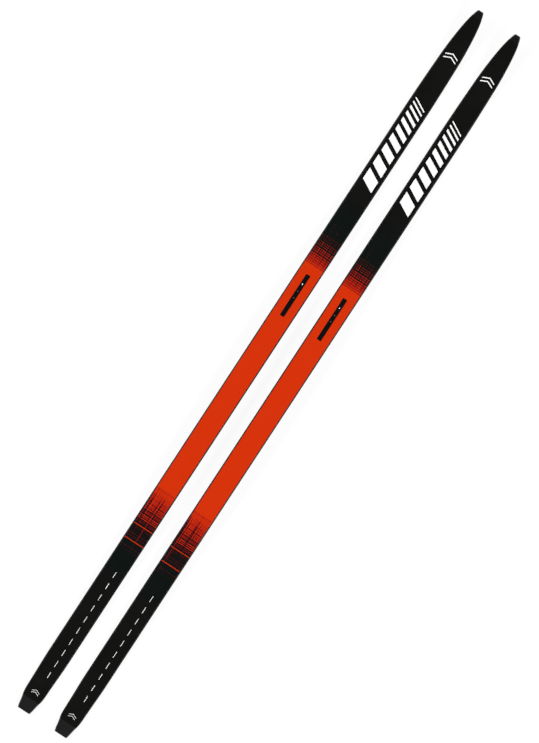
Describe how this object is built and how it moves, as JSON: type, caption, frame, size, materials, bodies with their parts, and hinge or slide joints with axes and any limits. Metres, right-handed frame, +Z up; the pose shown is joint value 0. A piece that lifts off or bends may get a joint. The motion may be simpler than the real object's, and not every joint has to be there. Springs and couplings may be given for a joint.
{
  "type": "cross-country ski pair",
  "caption": "Narrow cambered cross-country skis lying side by side, with blunt upturned tips, tapered square tails, a grooved running base and a laminated wood core.",
  "frame": {"origin": "on the ground that the running bases rest on, halfway between tail end and tip end, and halfway between the two skis", "axes": "+X along the skis towards the tips, +Y to the skier's left, +Z up out of the topsheets"},
  "size_m": [1.688, 0.1376, 0.0634],
  "materials": {
    "topsheet": "glossy printed film, orange in the middle and black towards tip and tail",
    "black_plastic": "satin black moulding",
    "label_film": "glossy black film",
    "glass_laminate": "resin-rich woven glass, dark",
    "running_base": "graphite polyethylene with a fine ground structure",
    "core_wood": "planed softwood",
    "reinforcement_plate": "fibre-reinforced sheet",
    "filler_plastic": "machined black plastic"
  },
  "bodies": {
    "left_ski": {"left_ski_topsheet": "topsheet", "left_ski_upper_laminate": "glass_laminate", "left_ski_lower_laminate": "glass_laminate", "left_ski_running_base": "running_base", "left_ski_sidewall_outer": "black_plastic", "left_ski_sidewall_inner": "black_plastic", "left_ski_core_stringer_1": "core_wood", "left_ski_core_stringer_2": "core_wood", "left_ski_core_stringer_3": "core_wood", "left_ski_core_stringer_4": "core_wood", "left_ski_core_stringer_5": "core_wood", "left_ski_binding_plate": "reinforcement_plate", "left_ski_tip_filler": "filler_plastic", "left_ski_tail_filler": "filler_plastic", "left_ski_tip_guard": "black_plastic", "left_ski_tail_guard": "black_plastic", "left_ski_centre_label": "label_film"},
    "right_ski": {"right_ski_topsheet": "topsheet", "right_ski_upper_laminate": "glass_laminate", "right_ski_lower_laminate": "glass_laminate", "right_ski_running_base": "running_base", "right_ski_sidewall_outer": "black_plastic", "right_ski_sidewall_inner": "black_plastic", "right_ski_core_stringer_1": "core_wood", "right_ski_core_stringer_2": "core_wood", "right_ski_core_stringer_3": "core_wood", "right_ski_core_stringer_4": "core_wood", "right_ski_core_stringer_5": "core_wood", "right_ski_binding_plate": "reinforcement_plate", "right_ski_tip_filler": "filler_plastic", "right_ski_tail_filler": "filler_plastic", "right_ski_tip_guard": "black_plastic", "right_ski_tail_guard": "black_plastic", "right_ski_centre_label": "label_film"}
  },
  "joints": [
    {"name": "stride", "type": "slide", "parent": "left_ski", "child": "right_ski", "axis": [1, 0, 0], "range_m": [-0.5, 0.5]}
  ]
}
